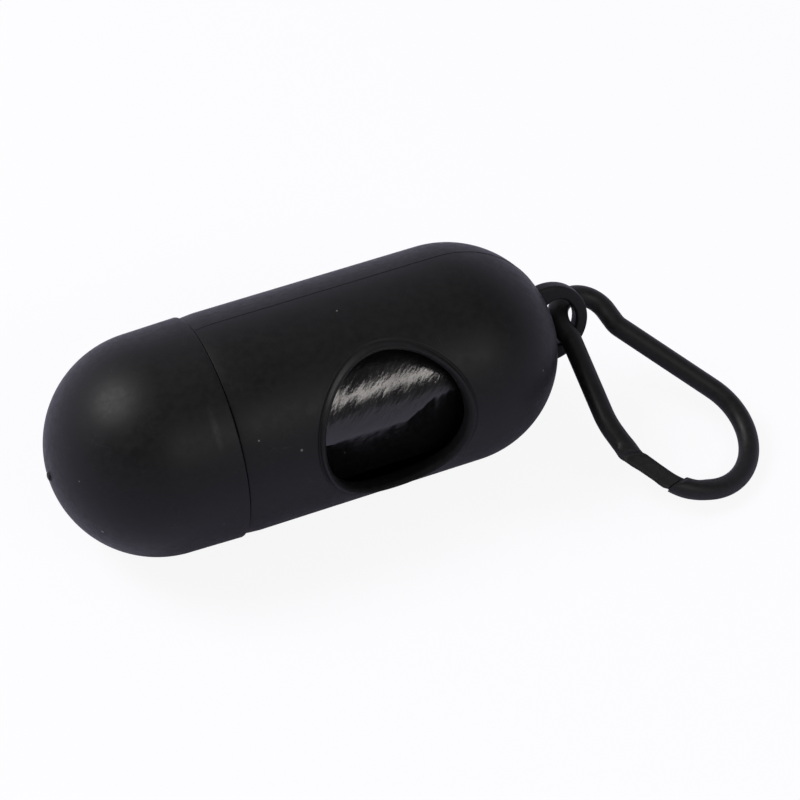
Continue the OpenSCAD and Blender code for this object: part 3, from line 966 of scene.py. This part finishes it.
def make_world():
    """White for the camera. Gloss meets a pale horizon and a dim ceiling, and the rest is even."""
    world = bpy.data.worlds.new("world")
    bpy.context.scene.world = world
    world.use_nodes = True
    tree = world.node_tree
    back = tree.nodes["Background"]

    def ramp(source, lo, hi, out_lo, out_hi):
        node = tree.nodes.new("ShaderNodeMapRange")
        node.interpolation_type = "SMOOTHSTEP"
        limits = {"From Min": lo, "From Max": hi, "To Min": out_lo, "To Max": out_hi}
        for key, value in limits.items():
            node.inputs[key].default_value = value
        tree.links.new(source, node.inputs["Value"])
        return node.outputs[0]

    def blend(factor, a, b):
        node = tree.nodes.new("ShaderNodeMix")
        node.data_type = "RGBA"
        tree.links.new(factor, node.inputs[0])
        for socket, value in ((node.inputs[6], a), (node.inputs[7], b)):
            if isinstance(value, tuple):
                socket.default_value = value
            else:
                tree.links.new(value, socket)
        return node.outputs[2]

    coord = tree.nodes.new("ShaderNodeTexCoord")
    split = tree.nodes.new("ShaderNodeSeparateXYZ")
    tree.links.new(coord.outputs["Generated"], split.inputs[0])
    rise = ramp(split.outputs["Z"], 0.12, 0.62, 0.0, 1.0)
    front = ramp(split.outputs["Y"], -0.3, 0.3, 0.0, 1.0)
    edge = ramp(split.outputs["Z"], 0.1, 0.22, 0.0, 1.0)
    near_side = blend(edge, (0.85, 0.82, 0.97, 1), (0.15, 0.145, 0.165, 1))
    sides = blend(front, near_side, (1.0, 0.96, 1.2, 1))
    ceiling = blend(front, (0.145, 0.14, 0.15, 1), (0.34, 0.33, 0.38, 1))
    room = blend(rise, sides, ceiling)
    path = tree.nodes.new("ShaderNodeLightPath")
    lit = blend(path.outputs["Is Glossy Ray"], (0.32, 0.32, 0.34, 1), room)
    tree.links.new(blend(path.outputs["Is Camera Ray"], lit, (1, 1, 1, 1)), back.inputs["Color"])
    back.inputs["Strength"].default_value = 1.0


def lamp_at(name, azimuth, elevation, distance, size_x, size_y, power, colour=(1, 1, 1)):
    """A soft lamp. The azimuth starts at the window's side and turns toward the carabiner."""
    az, el = math.radians(azimuth), math.radians(elevation)
    aim = np.array([math.sin(az) * math.cos(el), -math.cos(az) * math.cos(el), math.sin(el)])
    place = aim * distance + np.array([0.0, 0.0, 0.02])
    area_light(name, place, (0.0, 0.0, 0.02), size_x, size_y, power, colour)


make_camera()
# The case's patch lies at the cap's skirt, where the front lamp's light streak falls. It is scuff
# wear and partly a painted highlight.
case_look = moulded_plastic("case_plastic", 0.0045, 0.5, 0.19,
                            scuffs_and_highlights=[((-20.8, -13.0, 13.2), (1.2, 5.0, 4.0), 0.25)])
# The cap's first patch is a painted highlight with some scuff wear, at the spot where the back
# lamp's highlight falls on the dome. The second is a light streak on the skirt, partly scuff and
# partly painted highlight.
cap_look = moulded_plastic("cap_plastic", 0.0045, 0.5, 0.19,
                           scuffs_and_highlights=[((-34.1, -3.7, 16.1), (5.5, 5.5, 4.0), 0.16),
                                   ((-20.2, -13.2, 13.0), (0.9, 4.6, 5.2), 0.16)])
clip_look = moulded_plastic("carabiner_plastic", 0.006, 0.48, 0.22, grain=0.8)
film_look = film_plastic("bag_film")
wound_look = film_plastic("wound_film", rings=True)
board_look = paperboard("core_board")

case = make_case()
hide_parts("dispenser_body")
case_parts = [case, make_collar(), make_lug(), make_parting(1), make_parting(-1)]
case_parts.append(helix("neck_thread", NECK_R, THREAD_H, -24.0, THREAD_PITCH, 2.0, THREAD_HALF))
for piece in case_parts:
    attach(piece, "dispenser")
    paint(piece, case_look)
cap = make_cap()
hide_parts("screw_cap")
cap_thread = helix("cap_thread", CAP_IN_R, -THREAD_H, -23.2, THREAD_PITCH, 1.7, THREAD_HALF)
for piece in (cap, cap_thread):
    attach(piece, "cap")
    paint(piece, cap_look)
hook = make_hook()
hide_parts("carabiner_hook")
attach(hook, "carabiner")
paint(hook, clip_look)
gate = make_gate()
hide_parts("carabiner_gate")
paint(gate, clip_look)
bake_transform(gate)
wound = make_film_roll()
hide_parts("bag_roll")
sheet = make_lead_sheet()
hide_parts("lead_bag")
for piece, look_of_it in ((wound, wound_look), (sheet, film_look)):
    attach(piece, "roll")
    paint(piece, look_of_it)
paint(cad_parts["roll_core"], board_look)

bpy.context.scene.view_settings.view_transform = "Standard"
make_floor()
make_world()
lamp_at("key_front", 18, 36, 0.6, 0.38, 0.11, 1.1, (1.0, 0.955, 0.925))
lamp_at("key_back", -121, 50, 0.7, 0.32, 0.32, 3.8)
